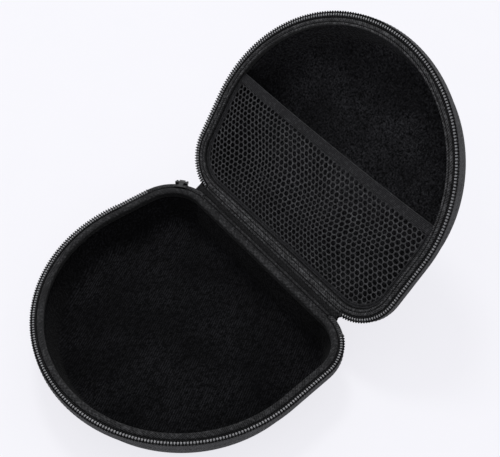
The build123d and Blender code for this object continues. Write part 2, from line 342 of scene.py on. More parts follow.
FINISHES: dict[str, Cloth | FloorCloth | Moulding] = {
    "cover": Cloth("cover cloth", Weave.PLAIN, (0.006, 0.006, 0.0065), (0.04, 0.04, 0.042), 1.3, 0.12),
    "foam": Cloth("shell foam", Weave.JERSEY, (0.008, 0.008, 0.008), (0.02, 0.02, 0.02), 0.8, 0.05),
    # One lining cloth in two brightnesses: the base's is painted darker for the shade inside it, the lid's is painted
    # lighter where it catches the light.
    "base lining": FloorCloth(
        "base lining cloth", (0.001, 0.001, 0.0012), (0.014, 0.014, 0.0158), 1.5, floor=9 * MM
    ),
    "lid lining": FloorCloth("lid lining cloth", (0.0018, 0.0018, 0.0021), (0.029, 0.029, 0.032), 1.5),
    "binding": Cloth(
        "binding tape", Weave.TWILL, (0.002, 0.002, 0.0022), (0.085, 0.085, 0.087), 2.0, 0.3, lint=0.7
    ),
    # The hinge cloth is the binding painted dark: painted shade for the groove between the halves. The tooth piping
    # wears it too.
    "hinge": Cloth(
        "hinge cloth", Weave.TWILL, (0.0015, 0.0015, 0.0017), (0.02, 0.02, 0.0206), 1.6, 0.3, lint=0.7
    ),
    # The base's rim is the same binding as the lid's, painted darker: painted shade.
    "base rim": Cloth(
        "base rim binding", Weave.TWILL, (0.001, 0.001, 0.0012), (0.05, 0.05, 0.0515), 1.5, 0.3,
        lint=0.55, mottle=0.4, shaded_creases=(3.7,), inner=9.2,
    ),
    "lid rim": Cloth(
        "lid rim binding", Weave.TWILL, (0.002, 0.002, 0.0022), (0.082, 0.082, 0.084), 1.8, 0.3,
        lint=0.5, mottle=0.5, shaded_creases=(3.7, 7.66), inner=9.9,
    ),
    "zip tape": Cloth("zip tape", Weave.TWILL, (0.016, 0.016, 0.0165), (0.12, 0.12, 0.1235), 1.1, 0.15),
    # The cord's light grey is partly its own colour and partly painted glints between the teeth.
    "cord": Cloth("zip cord", Weave.TWILL, (0.16, 0.16, 0.163), (0.42, 0.42, 0.43), 0.8, 0.1),
    "elastic": Cloth(
        "hem elastic", Weave.RIB, (0.004, 0.004, 0.0045), (0.036, 0.036, 0.038), 1.0, 0.1, lint=0.6, mottle=0.3
    ),
    "net": Cloth(
        "net yarn", Weave.PLAIN, (0.008, 0.008, 0.0085), (0.085, 0.085, 0.088), 0.5, 0.05, lint=0.8, mottle=0.3
    ),
    "thread": Cloth("sewing thread", Weave.RIB, (0.01, 0.01, 0.0105), (0.07, 0.07, 0.073), 0.3, 0.03),
    "teeth": Moulding("zip teeth plastic", (0.0015, 0.0015, 0.0017), (0.006, 0.006, 0.006), 0.24, specular=0.1),
    "metal": Moulding("lacquered metal", (0.006, 0.006, 0.0065), (0.02, 0.02, 0.02), 0.38, metallic=0.2),
    "rubber": Moulding(
        "pull rubber", (0.008, 0.008, 0.0085), (0.02, 0.02, 0.02), 0.6, specular=0.3, grain=1.2, relief=0.05
    ),
}
_made: dict[str, bpy.types.Material] = {}


def finish(name: str) -> bpy.types.Material:
    """The material of a named finish, made once."""
    if name not in _made:
        _made[name] = FINISHES[name].build()
    return _made[name]


# ---------------------------------------------------------------- meshes


def link_new(name: str, data: bpy.types.ID) -> bpy.types.Object:
    """Makes an object of a mesh, light or camera and links it to the scene."""
    made = bpy.data.objects.new(name, data)
    bpy.context.scene.collection.objects.link(made)
    return made


def make_piece(name: str, points: np.ndarray, faces: list, uv: np.ndarray | None, look: str) -> bpy.types.Object:
    """Makes a mesh object.

    Args:
        name: The piece's name.
        points: (n, 3) places in metres.
        faces: Vertex numbers of each face.
        uv: One (u, v) pair in millimetres for each face corner, or None.
        look: The name of its finish.

    Returns:
        The object, linked to the scene and shaded smooth.
    """
    mesh = bpy.data.meshes.new(name)
    mesh.from_pydata(np.asarray(points, float).tolist(), [], faces)
    if uv is not None:
        layer = mesh.uv_layers.new(name=CLOTH_MAP)
        layer.data.foreach_set("uv", np.asarray(uv, np.float32).ravel())
    mesh.polygons.foreach_set("use_smooth", np.ones(len(mesh.polygons), bool))
    mesh.materials.append(finish(look))
    mesh.update()
    return link_new(name, mesh)


@dataclass
class Patch:
    """A tube of points with its cloth map, ready to be joined with others into one piece.

    points has shape (rows, columns, 3) and uv (rows, columns, 2). The last column joins the first,
    and with loop the last row joins the first.
    """

    points: np.ndarray
    uv: np.ndarray
    loop: bool = False

    def mesh(self) -> tuple[np.ndarray, np.ndarray, np.ndarray]:
        """Points, quads and the corners' cloth map; past the seam the map goes on by its last step."""
        rows, columns = self.points.shape[:2]
        down = rows if self.loop else rows - 1
        i, j = np.meshgrid(np.arange(down), np.arange(columns), indexing="ij")
        i2, j2 = (i + 1) % rows, (j + 1) % columns
        quads = np.stack([i * columns + j, i * columns + j2, i2 * columns + j2, i2 * columns + j], -1)
        quads = quads.reshape(-1, 4)
        corners = self.uv.reshape(-1, 2)[quads].copy()
        step = self.uv[:, -1, 0] - self.uv[:, -2, 0]
        seam = (j == columns - 1).ravel()
        for corner, row in ((1, i.ravel()[seam]), (2, i2.ravel()[seam])):
            corners[seam, corner, 0] = self.uv[row, -1, 0] + step[row]
        return self.points.reshape(-1, 3), quads, corners


def signed_volume(points: np.ndarray, faces: np.ndarray) -> float:
    """Six times the volume inside quads: the sum of the triple products of their triangles."""
    a, b, c, d = (points[faces[:, k]] for k in range(4))
    return float(np.einsum("ij,ij->", a, np.cross(b, c)) + np.einsum("ij,ij->", a, np.cross(c, d)))


DOUBLE = 1e-7  # metres between points that are one point
DEGENERATE = 1e-8  # metres of an edge that is no edge


@contextmanager
def editing(made: bpy.types.Object) -> Iterator[bmesh.types.BMesh]:
    """An object's mesh opened for editing, and written back after."""
    mesh = bmesh.new()
    mesh.from_mesh(made.data)
    yield mesh
    mesh.to_mesh(made.data)
    mesh.free()


def piece_of(name: str, patches: list[Patch], look: str) -> bpy.types.Object:
    """Joins closed patches into one piece whose faces point outwards."""
    all_points, all_faces, all_uv, count = [], [], [], 0
    for patch in patches:
        points, quads, corners = patch.mesh()
        if signed_volume(points - points.mean(0), quads) < 0:
            quads, corners = quads[:, ::-1], corners[:, ::-1]
        all_points.append(points)
        all_faces.append(quads + count)
        all_uv.append(corners)
        count += len(points)
    uv = np.vstack(all_uv).reshape(-1, 2)
    made = make_piece(name, np.vstack(all_points), np.vstack(all_faces).tolist(), uv, look)
    with editing(made) as mesh:
        bmesh.ops.remove_doubles(mesh, verts=mesh.verts, dist=DOUBLE)
        bmesh.ops.dissolve_degenerate(mesh, edges=mesh.edges, dist=DEGENERATE)
    return made


@dataclass(frozen=True)
class Placement:
    """Takes a half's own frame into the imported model's, as the base or as the lid."""

    axis_y: float
    axis_z: float
    opening: float = 0.0  # radians the lid stands open
    lid: bool = False

    def place(self, points: np.ndarray) -> np.ndarray:
        """Moves points; the lid's are first mirrored in the meeting plane and swung open about X."""
        x, y, z = points[..., 0], points[..., 1], points[..., 2]
        if self.lid:
            z = -z
            c, s = math.cos(self.opening), math.sin(self.opening)
            y, z = y * c + z * s, -y * s + z * c
        return np.stack([x, y + self.axis_y, z + self.axis_z], -1)


# ---------------------------------------------------------------- the case's form


@dataclass(frozen=True)
class Outline:
    """The rims' outline: a straight hinge side, two round corners, two flanks and one big front arc."""

    width: float = 200.0
    far_centre: float = 68.1
    corner_radius: float = 32.5
    hinge_half: float = 65.4
    hinge_gap: float = 0.7
    counts: tuple[int, int, int, int] = (84, 44, 30, 120)  # hinge side, corner, flank, half the front
    closing_step: float = 1.56  # from the loop's last point to its first

    @property
    def flank_angle(self) -> float:
        """Angle of the flank's outward normal, as the tangent of the corner and front circles."""
        rise = self.far_centre - self.corner_radius
        lean = math.acos((self.width / 2 - self.corner_radius) / math.hypot(self.hinge_half, rise))
        return math.atan2(rise, self.hinge_half) - lean

    def loop(self, inset: np.ndarray, spine: np.ndarray | None = None) -> np.ndarray:
        """Points round the outline, once for each inset.

        The corner circle touches the hinge side and the flank; the front arc keeps its centre and
        loses the inset from its radius. The loop runs from the right end of the hinge side, round
        the right corner, the front and the left corner, and back along the hinge side.

        Args:
            inset: How far the outline is moved in, in millimetres, any shape.
            spine: The same at the hinge side, or None for the same inset.

        Returns:
            An array of inset's shape with two more axes: the loop's points, and x and y.
        """
        inset = np.asarray(inset, float)[..., None]
        spine = inset if spine is None else np.asarray(spine, float)[..., None]
        hinge, corner, flank, front = self.counts
        angle = self.flank_angle
        far = self.width / 2 - inset
        far_y = -(self.hinge_gap + self.far_centre)
        radius = self.corner_radius - (inset + spine) / 2
        corner_y = -(self.hinge_gap + spine) - radius
        corner_x = (far_y * math.sin(angle) + far - radius - corner_y * math.sin(angle)) / math.cos(angle)
        turn = np.linspace(math.pi / 2, angle, corner, endpoint=False)
        step = np.linspace(0, 1, flank, endpoint=False)
        sweep = np.linspace(angle, -math.pi / 2, front, endpoint=False)
        x = [corner_x + radius * np.cos(turn)]
        y = [corner_y + radius * np.sin(turn)]
        start = (corner_x + radius * math.cos(angle), corner_y + radius * math.sin(angle))
        end = (far * math.cos(angle), far_y + far * math.sin(angle))
        x.append(start[0] + (end[0] - start[0]) * step)
        y.append(start[1] + (end[1] - start[1]) * step)
        x.append(far * np.cos(sweep))
        y.append(far_y + far * np.sin(sweep))
        right = np.stack([np.concatenate(x, -1), np.concatenate(y, -1)], -1)
        front_point = np.stack([0 * far, far_y - far], -1)
        left = right[..., ::-1, :] * np.array([-1.0, 1.0])
        back = corner_x * np.linspace(-1, 1, hinge + 1)[1:-1]
        side = np.stack([back, np.broadcast_to(corner_y + radius, back.shape)], -1)
        return np.concatenate([right, front_point, left, side], -2)

    def lengths(self) -> np.ndarray:
        """Distance round the outline at no inset to each of its points, in millimetres."""
        points = self.loop(0.0)
        return np.r_[0, np.cumsum(np.hypot(*np.diff(points, axis=0).T))]

    def run(self, inset: float, start: float, end: float, count: int) -> tuple[np.ndarray, np.ndarray]:
        """Evenly spaced points along part of the outline.

        Args:
            inset: How far in, in millimetres.
            start: Where it starts, as a distance round the outline at no inset.
            end: Where it ends; past the whole length it goes on round.
            count: How many points.

        Returns:
            The points and the outward directions there, each (count, 2).
        """
        inner, outer = self.loop(inset), self.loop(inset - 1.0)
        at = self.lengths()
        turn = at[-1] + np.hypot(*(outer[0] - outer[-1]))
        at = np.r_[at, turn]
        inner, outer = np.vstack([inner, inner[:1]]), np.vstack([outer, outer[:1]])
        s = np.mod(np.linspace(start, end, count), turn)
        here = np.stack([np.interp(s, at, inner[:, k]) for k in (0, 1)], -1)
        out = np.stack([np.interp(s, at, outer[:, k]) for k in (0, 1)], -1) - here
        return here, out / np.linalg.norm(out, axis=-1, keepdims=True)

    @property
    def whole(self) -> float:
        """Length of the whole outline at no inset: the loop and the step that closes it."""
        return self.lengths()[-1] + self.closing_step

    @property
    def hinge_start(self) -> float:
        """Distance round the outline to the left end of the straight hinge side."""
        return self.lengths()[2 * sum(self.counts[1:])]

    def corner_length(self, degrees: float) -> float:
        """Length of the corner's arc over an angle, in millimetres."""
        return math.radians(degrees) * self.corner_radius


@dataclass(frozen=True)
class Section:
    """A half's section: the band under the rim, the leaning wall and the rounded edge."""

    half_height: float = 36.0
    band_depth: float = 8.0
    side_slope: float = 21.0
    spine_slope: float = 8.0
    edge_radius: float = 14.0
    cover_inset: float = 0.6
    cover: float = 0.9
    core: float = 4.6
    lining: float = 0.9
    glue: float = 0.1
    rim: float = 2.7  # meeting plane to the top of the layers
    bend: float = 4.0  # how sharply the upright band turns into the leaning wall
    bend_offset: float = 0.1  # taken off, as the soft bend lies a little inside both

    @property
    def edge_centre(self) -> float:
        """Depth of the centre of the edge's radius."""
        return self.half_height - self.edge_radius

    @property
    def wall(self) -> float:
        """Thickness of all the layers."""
        return self.cover + self.core + self.lining + 2 * self.glue

    def inset(self, depth: np.ndarray, layer: float, slope: float) -> np.ndarray:
        """Inset of the surface layer millimetres inside the cover's face, at each depth.

        Above the edge's tangent point it is the upright band or the leaning wall, whichever is
        further in; below it is the arc of the edge, whose radius is less by layer.
        """
        lean = math.radians(slope)
        radius = self.edge_radius - layer
        rise = self.edge_centre - self.band_depth
        centre = self.cover_inset + rise * math.tan(lean) + self.edge_radius / math.cos(lean)
        wall = layer / math.cos(lean) + (depth - self.band_depth) * math.tan(lean)
        straight = self.cover_inset + np.logaddexp(layer * self.bend, wall * self.bend) / self.bend - self.bend_offset
        drop = np.clip(depth - self.edge_centre, 0, radius)
        arc = centre - np.sqrt(radius**2 - drop**2)
        return np.where(depth < self.edge_centre + radius * math.sin(lean), straight, arc)

    def depths(self, layer: float, count: int = 26) -> np.ndarray:
        """Depths down the wall and round the edge, closer together where the surface turns."""
        wall = np.linspace(self.rim, self.edge_centre, count, endpoint=False)
        arc = np.radians(np.linspace(0, 90, count))
        return np.r_[wall, self.edge_centre + (self.edge_radius - layer) * np.sin(arc)]


OUTLINE = Outline()
SECTION = Section()


FLAT_RINGS = (0.96, 0.9, 0.8, 0.65, 0.5, 0.35, 0.2, 0.08, 0.0)  # sizes of the rings over the flat


def layer_rows(layer: float) -> np.ndarray:
    """A layer surface from its rim to the middle of its flat.

    Args:
        layer: Millimetres inside the cover's outer face.

    Returns:
        Points (rows, columns, 3) in millimetres, z down from the meeting plane.
    """
    depth = SECTION.depths(layer)
    side = SECTION.inset(depth, layer, SECTION.side_slope)
    spine = SECTION.inset(depth, layer, SECTION.spine_slope)
    rings = OUTLINE.loop(side, spine)
    bottom = rings[-1]
    centre = np.array([0.0, bottom[:, 1].mean()])
    plan = np.concatenate([rings, centre + (bottom - centre) * np.array(FLAT_RINGS)[:, None, None]])
    z = np.r_[-depth, np.full(len(FLAT_RINGS), -depth[-1])]
    return np.concatenate([plan, np.broadcast_to(z[:, None, None], plan.shape[:2] + (1,))], -1)


def wall_map(points: np.ndarray) -> np.ndarray:
    """Cloth map of an outer skin: along the outline, and down the wall from the rim."""
    rows, columns = points.shape[:2]
    along = np.broadcast_to(OUTLINE.lengths(), (rows, columns))
    steps = np.linalg.norm(np.diff(points, axis=0), axis=-1)
    return np.stack([along, np.cumsum(np.r_[np.zeros((1, columns)), steps], 0)], -1)


# ---------------------------------------------------------------- sections, as (inset, depth) in millimetres

RIM_POINTS, ROLL_POINTS, TAPE_POINTS, CORD_POINTS, RIDGE_POINTS, CAP_POINTS, HEM_POINTS = (
    560, 200, 420, 380, 320, 120, 260  # points along each swept band
)
TAPE_PAST, CORD_PAST = 1.0, 0.8  # millimetres that the tape and the cord reach past the teeth
BINDING_FOOT = [(0.62, 2.62), (0.62, 2.2), (0.85, 1.92), (1.6, 1.82), (3.75, 1.8), (4.15, 1.45), (4.45, 0.95)]
PLAIN_CROWN = [(4.9, 0.7), (5.5, 0.6), (6.3, 0.57), (7.0, 0.65), (7.6, 0.95), (8.05, 1.4)]
FOLDED_CROWN = [
    (4.9, 0.7), (5.5, 0.72), (6.0, 0.98), (6.3, 1.45), (6.45, 1.95), (6.6, 1.95), (6.75, 1.5),
    (7.1, 1.12), (7.6, 1.05), (8.05, 1.35),
]
BINDING_DROP = [(8.25, 1.95), (8.2, 2.9), (8.12, 4.2), (8.05, 5.6), (7.9, 6.15)]
HINGE_ROLL = [
    (0.55, 2.3), (0.52, 1.5), (0.75, 0.98), (1.4, 0.66), (2.4, 0.56), (3.3, 0.62), (4.0, 0.9),
    (4.45, 1.5), (4.45, 2.3),
]
TAPE_BAND = [
    (0.02, 1.85), (0.0, 3.0), (0.02, 5.2), (-0.12, 5.9), (-0.14, 6.6), (0.0, 7.2), (0.2, 7.5),
    (0.5, 7.4), (0.52, 5.0), (0.52, 1.85), (0.3, 1.75),
]
TOOTH_CORD = [(1.0, 1.78), (1.1, 1.3), (1.4, 1.0), (2.1, 0.96), (2.5, 1.2), (2.55, 1.78)]
CAP_ROLL = [
    (0.5, 7.4), (0.1, 7.3), (0.0, 6.0), (0.0, 3.0), (0.05, 1.9), (0.3, 1.15), (0.9, 0.72),
    (1.7, 0.6), (2.5, 0.8), (3.1, 1.35), (3.2, 1.75), (0.6, 1.75), (0.52, 3.0),
]
HEM_BAND = [  # millimetres across the hem, and out from the net
    (0, 0.1), (0.25, 0.75), (0.9, 1.0), (1.7, 0.82), (3.5, 0.78), (5.3, 0.82), (6.1, 1.0),
    (6.75, 0.75), (7.0, 0.1), (6.6, -0.55), (3.5, -0.6), (0.4, -0.55),
]


def round_section(inset: float, depth: float, across: float, down: float, sides: int) -> np.ndarray:
    """An oval section round a middle."""
    angle = np.linspace(0, TURN, sides, endpoint=False)
    return np.c_[inset - np.cos(angle) * across, depth - np.sin(angle) * down]


TOOTH_PIPING = round_section(3.15, 1.5, 0.4, 0.4, 8)


def bar_quads(sections: int, sides: int) -> np.ndarray:
    """Quads between the sections of one bar, each section having the same number of corners."""
    k, j = np.meshgrid(np.arange(sections - 1), np.arange(sides), indexing="ij")
    after = (j + 1) % sides
    quads = np.stack([k * sides + j, k * sides + after, (k + 1) * sides + after, (k + 1) * sides + j], -1)
    return quads.reshape(-1, 4)


def stand_bars(
    here: np.ndarray, out: np.ndarray, outward: np.ndarray, along: np.ndarray, depth: np.ndarray
) -> np.ndarray:
    """Copies the corners of a small bar to places on the outline.

    Args:
        here: (count, 2) places.
        out: Outward directions there.
        outward: How far out each corner stands, (corners,) or (count, corners).
        along: How far along the outline, (corners,).
        depth: How deep under the meeting plane, (corners,).

    Returns:
        Points (count, corners, 3) in the half's frame, in millimetres.
    """
    tangent = np.stack([-out[:, 1], out[:, 0]], -1)
    outward = np.broadcast_to(outward, (len(here), len(along)))
    flat = here[:, None] + out[:, None] * outward[..., None] + tangent[:, None] * along[:, None]
    z = np.broadcast_to(-depth[:, None], flat.shape[:2] + (1,))
    return np.concatenate([flat, z], -1)


@dataclass
class Half:
    """One half of the case: its body's name, its place, and where its zip starts at each corner."""

    body: str
    placement: Placement
    left_start: float  # degrees round the left corner to the first tooth
    right_start: float
    slider_reach: float  # millimetres of teeth at the left end that the slider passes over
    folded: bool  # whether a fold runs along the binding

    def add(self, made: bpy.types.Object, nodes: tuple[str, ...], slot: str) -> None:
        """Lets a piece ride on this half's body and stand for its nodes."""
        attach(made, self.body)
        if nodes:
            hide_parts(*nodes)
        log.info("%s: %d faces", made.name, len(made.data.polygons))

    def patch(self, points_mm: np.ndarray, uv: np.ndarray, loop: bool = False) -> Patch:
        """A patch of this half from points in its own frame, in millimetres."""
        return Patch(self.placement.place(points_mm * MM), uv, loop)

    def build(self) -> None:
        """Makes every piece of the half."""
        self.skins()
        self.binding()
        self.zip_tape()
        self.zip_teeth()
        self.rim_stitches()

    def skins(self) -> None:
        """The outer cover and the lining, each a closed skin between two layer surfaces."""
        inner_start = SECTION.wall - SECTION.lining
        for name, outer, inner, look, slot in (
            ("cover", 0.0, SECTION.cover, "cover", "cover_fabric"),
            ("lining", inner_start, SECTION.wall, f"{self.body} lining", "lining_fabric"),
        ):
            outside, inside = layer_rows(outer), layer_rows(inner)
            if name == "lining":
                inside = self.soften(inside)
            points = np.concatenate([outside[::-1], inside])
            if name == "cover":
                uv = np.concatenate([wall_map(outside)[::-1], wall_map(inside)])
            else:
                uv = points[..., :2]
            made = piece_of(f"{self.body}_{name}_skin", [self.patch(points, uv)], look)
            self.add(made, (f"{self.body}_{name}",), slot)

    @staticmethod
    def soften(points: np.ndarray) -> np.ndarray:
        """Gives the lining a slight swell: waves of under half a millimetre in its height."""
        x, y, z = points[..., 0], points[..., 1], points[..., 2]
        swell = 0.16 * np.sin(x / 9.0 + 1.3 * np.sin(y / 23.0)) * np.sin(y / 11.0 + np.cos(x / 31.0))
        swell += 0.10 * np.sin(x / 4.1 + y / 6.3) * np.cos(y / 5.2 - x / 8.7)
        flat = np.clip((-z - 20.0) / 8.0, 0, 1)
        lifted = points.copy()
        lifted[..., 2] = z + (swell + 0.12) * flat
        return lifted

    def sweep(self, section: list | np.ndarray, start: float, end: float, count: int) -> Patch:
        """Carries a closed section along the outline.

        Args:
            section: (n, 2) of inset and depth in millimetres.
            start: Distance round the outline where it starts.
            end: Where it ends; a whole turn closes on itself.
            count: Points along it.

        Returns:
            The patch: rows along the outline, columns round the section.
        """
        section = np.asarray(section, float)
        closed = end - start >= OUTLINE.whole
        rows = []
        for inset, depth in section:
            here, _ = OUTLINE.run(inset, start, end, count)
            rows.append(np.c_[here, np.full(count, -depth)])
        points = np.stack(rows, 1)
        if closed:
            points = points[:-1]
        down = np.r_[0, np.cumsum(np.hypot(*np.diff(section, axis=0).T))]
        along = np.linspace(start, end, count)[: len(points)]
        uv = np.stack(np.meshgrid(along, down, indexing="ij"), -1)[..., ::-1]
        if not closed:
            points, uv = cap_ends(points, uv)
        return self.patch(points, uv, closed)

    def binding(self) -> None:
        """The binding: a soft band rolled over the rim and down inside, and a roll on the hinge side."""
        inset = SECTION.cover_inset + SECTION.wall + SECTION.glue
        crown = FOLDED_CROWN if self.folded else PLAIN_CROWN
        inside = [(inset + 0.05, 6.1), (inset + 0.02, 2.9), (inset - 0.6, 2.62), (4.0, 2.62)]
        reach = 0.0 if self.slider_reach else OUTLINE.corner_length(8)
        patches = [
            self.sweep(BINDING_FOOT + crown + BINDING_DROP + inside, 0, OUTLINE.whole, RIM_POINTS),
            self.sweep(HINGE_ROLL, OUTLINE.hinge_start - reach, OUTLINE.whole + reach, ROLL_POINTS),
        ]
        made = piece_of(f"{self.body}_binding", patches, f"{self.body} rim")
        self.add(made, (f"{self.body}_rim_binding",), "binding_fabric")

    def zip_ends(self) -> tuple[float, float]:
        """Distances round the outline where the teeth start at the right and end at the left."""
        corner = 90 - math.degrees(OUTLINE.flank_angle)
        right = OUTLINE.corner_length(self.right_start)
        left = OUTLINE.hinge_start - OUTLINE.corner_length(min(self.left_start, corner))
        return right, left

    def zip_tape(self) -> None:
        """The woven tape on the outside of the band, thicker where its edge is turned."""
        start, end = self.zip_ends()
        band = self.sweep(TAPE_BAND, start - TAPE_PAST, end + TAPE_PAST, TAPE_POINTS)
        made = piece_of(f"{self.body}_tape", [band], "zip tape")
        self.add(made, (f"{self.body}_zip_tape",), "zip_tape")

    def zip_teeth(self) -> None:
        """The row of moulded teeth on the rim's outer edge, with its cord and the piping inside it."""
        start, end = self.zip_ends()
        count = int(round((end - start) / TOOTH.pitch))
        here, out = OUTLINE.run(0.0, start, end, count)
        overhang = np.full(count, TOOTH.overhang)
        if self.slider_reach:
            overhang *= np.linspace(start, end, count) < end - self.slider_reach
        teeth = TOOTH.row(here, out, overhang)
        points = self.placement.place(teeth.reshape(-1, 3) * MM)
        faces = TOOTH.faces()[None] + (np.arange(count) * TOOTH.corners)[:, None, None]
        faces = faces.reshape(-1, 4)
        if signed_volume(points[: TOOTH.corners] - points[: TOOTH.corners].mean(0), TOOTH.faces()) < 0:
            faces = faces[:, ::-1]
        made = make_piece(f"{self.body}_teeth", points, faces.tolist(), None, "teeth")
        self.add(made, (f"{self.body}_zip_teeth",), "zip_teeth")
        for name, section, look, stop in (
            # The cord's light grey is partly painted glints between the teeth.
            ("tooth_cord", TOOTH_CORD, "cord", end + CORD_PAST),
            # The piping wears the hinge cloth, which is painted dark as shade.
            ("tooth_piping", TOOTH_PIPING, "hinge", end - self.slider_reach),
        ):
            band = self.sweep(section, start - CORD_PAST, stop, CORD_POINTS)
            made = piece_of(f"{self.body}_{name}", [band], look)
            self.add(made, (), "zip_tape")

    def rim_stitches(self) -> None:
        """The row of stitches along the tape's lower edge."""
        start, end = self.zip_ends()
        made = make_piece(f"{self.body}_tape_stitches", *STITCH.row(start, end, self.placement), None, "thread")
        self.add(made, (), "zip_tape")


def cap_ends(points: np.ndarray, uv: np.ndarray) -> tuple[np.ndarray, np.ndarray]:
    """Closes both ends of a swept band by adding rows drawn in to the section's middle."""
    start, end = (np.broadcast_to(row.mean(1, keepdims=True), row.shape) for row in (points[:1], points[-1:]))
    return np.concatenate([start, points, end]), np.concatenate([uv[:1], uv, uv[-1:]])


@dataclass(frozen=True)
class Tooth:
    """One tooth: a six-sided bar across the tape's edge, fuller at its head."""

    pitch: float = 1.95
    length: float = 3.1
    overhang: float = 0.4  # reach past the tape's outer face
    width: float = 1.02
    low: float = 1.75  # depth of its foot
    high: float = 0.5  # depth of its tip
    sides: int = 6
    corners: int = 24  # four sections of six

    def row(self, here: np.ndarray, out: np.ndarray, overhang: np.ndarray) -> np.ndarray:
        """Corners of the teeth, (count, corners, 3).

        Each tooth is four six-sided sections across the edge: their places, widths and heights make
        a slim foot, a full middle and a rounded head.

        Args:
            here: Places on the outline.
            out: Outward directions there.
            overhang: How far each tooth reaches past the outline, in millimetres.
        """
        place = np.array([0.0, 0.3, 2.2, self.length - self.overhang])
        wide = np.array([0.62, 1.0, 0.92, 0.6]) * self.width / 2
        tall = np.array([0.55, 1.0, 0.95, 0.7])
        angle = np.linspace(0, TURN, self.sides, endpoint=False)
        side = np.cos(angle)[None] * wide[:, None]
        middle = (self.low + self.high) / 2
        half = (self.low - self.high) / 2
        depth = middle + np.clip(np.sin(angle) * 1.15, -1, 1)[None] * (half * tall)[:, None]
        head = np.repeat(place, self.sides) < 1.0
        inward = np.repeat(place, self.sides)[None] - overhang[:, None] * head
        return stand_bars(here, out, -inward, side.ravel(), depth.ravel())

    def faces(self) -> np.ndarray:
        """Quads between the sections and two quads over each end."""
        ends = np.array([(3, 2, 1, 0), (5, 4, 3, 0), (18, 19, 20, 21), (18, 21, 22, 23)])
        return np.vstack([bar_quads(4, self.sides), ends])


TOOTH = Tooth()


@dataclass(frozen=True)
class Stitch:
    """Thread stitches on the outline's outer face: five-sided bars, raised in the middle, sunk at the ends."""

    depth: float = 6.25
    pitch: float = 2.9
    length: float = 2.0
    radius: float = 0.17
    sides: int = 5

    def row(self, start: float, end: float, placement: Placement) -> tuple[np.ndarray, list]:
        """A row of stitches.

        Args:
            start: Where it starts round the outline.
            end: Where it ends.
            placement: The half's place.

        Returns:
            Points in metres and faces.
        """
        n, radius = self.sides, self.radius
        count = int((end - start) / self.pitch)
        here, out = OUTLINE.run(0.0, start, end, count)
        place = np.array([-0.5, -0.32, 0.0, 0.32, 0.5]) * self.length
        lift = np.array([-0.6, 0.5, 0.9, 0.5, -0.6]) * radius
        angle = np.linspace(0, TURN, n, endpoint=False)
        outward = lift[:, None] + radius * np.cos(angle)
        down = radius * np.sin(angle) + np.zeros((len(place), 1))
        points = stand_bars(here, out, outward.ravel(), np.repeat(place, n), self.depth + down.ravel())
        size = len(place) * n
        faces = (bar_quads(len(place), n)[None] + (np.arange(count) * size)[:, None, None]).reshape(-1, 4).tolist()
        first, last = range(n)[::-1], range(size - n, size)
        faces += [[k * size + c for c in ring] for k in range(count) for ring in (first, last)]
        if placement.lid:
            faces = [face[::-1] for face in faces]
        return placement.place(points.reshape(-1, 3) * MM), faces


STITCH = Stitch()


# ---------------------------------------------------------------- the pocket in the lid


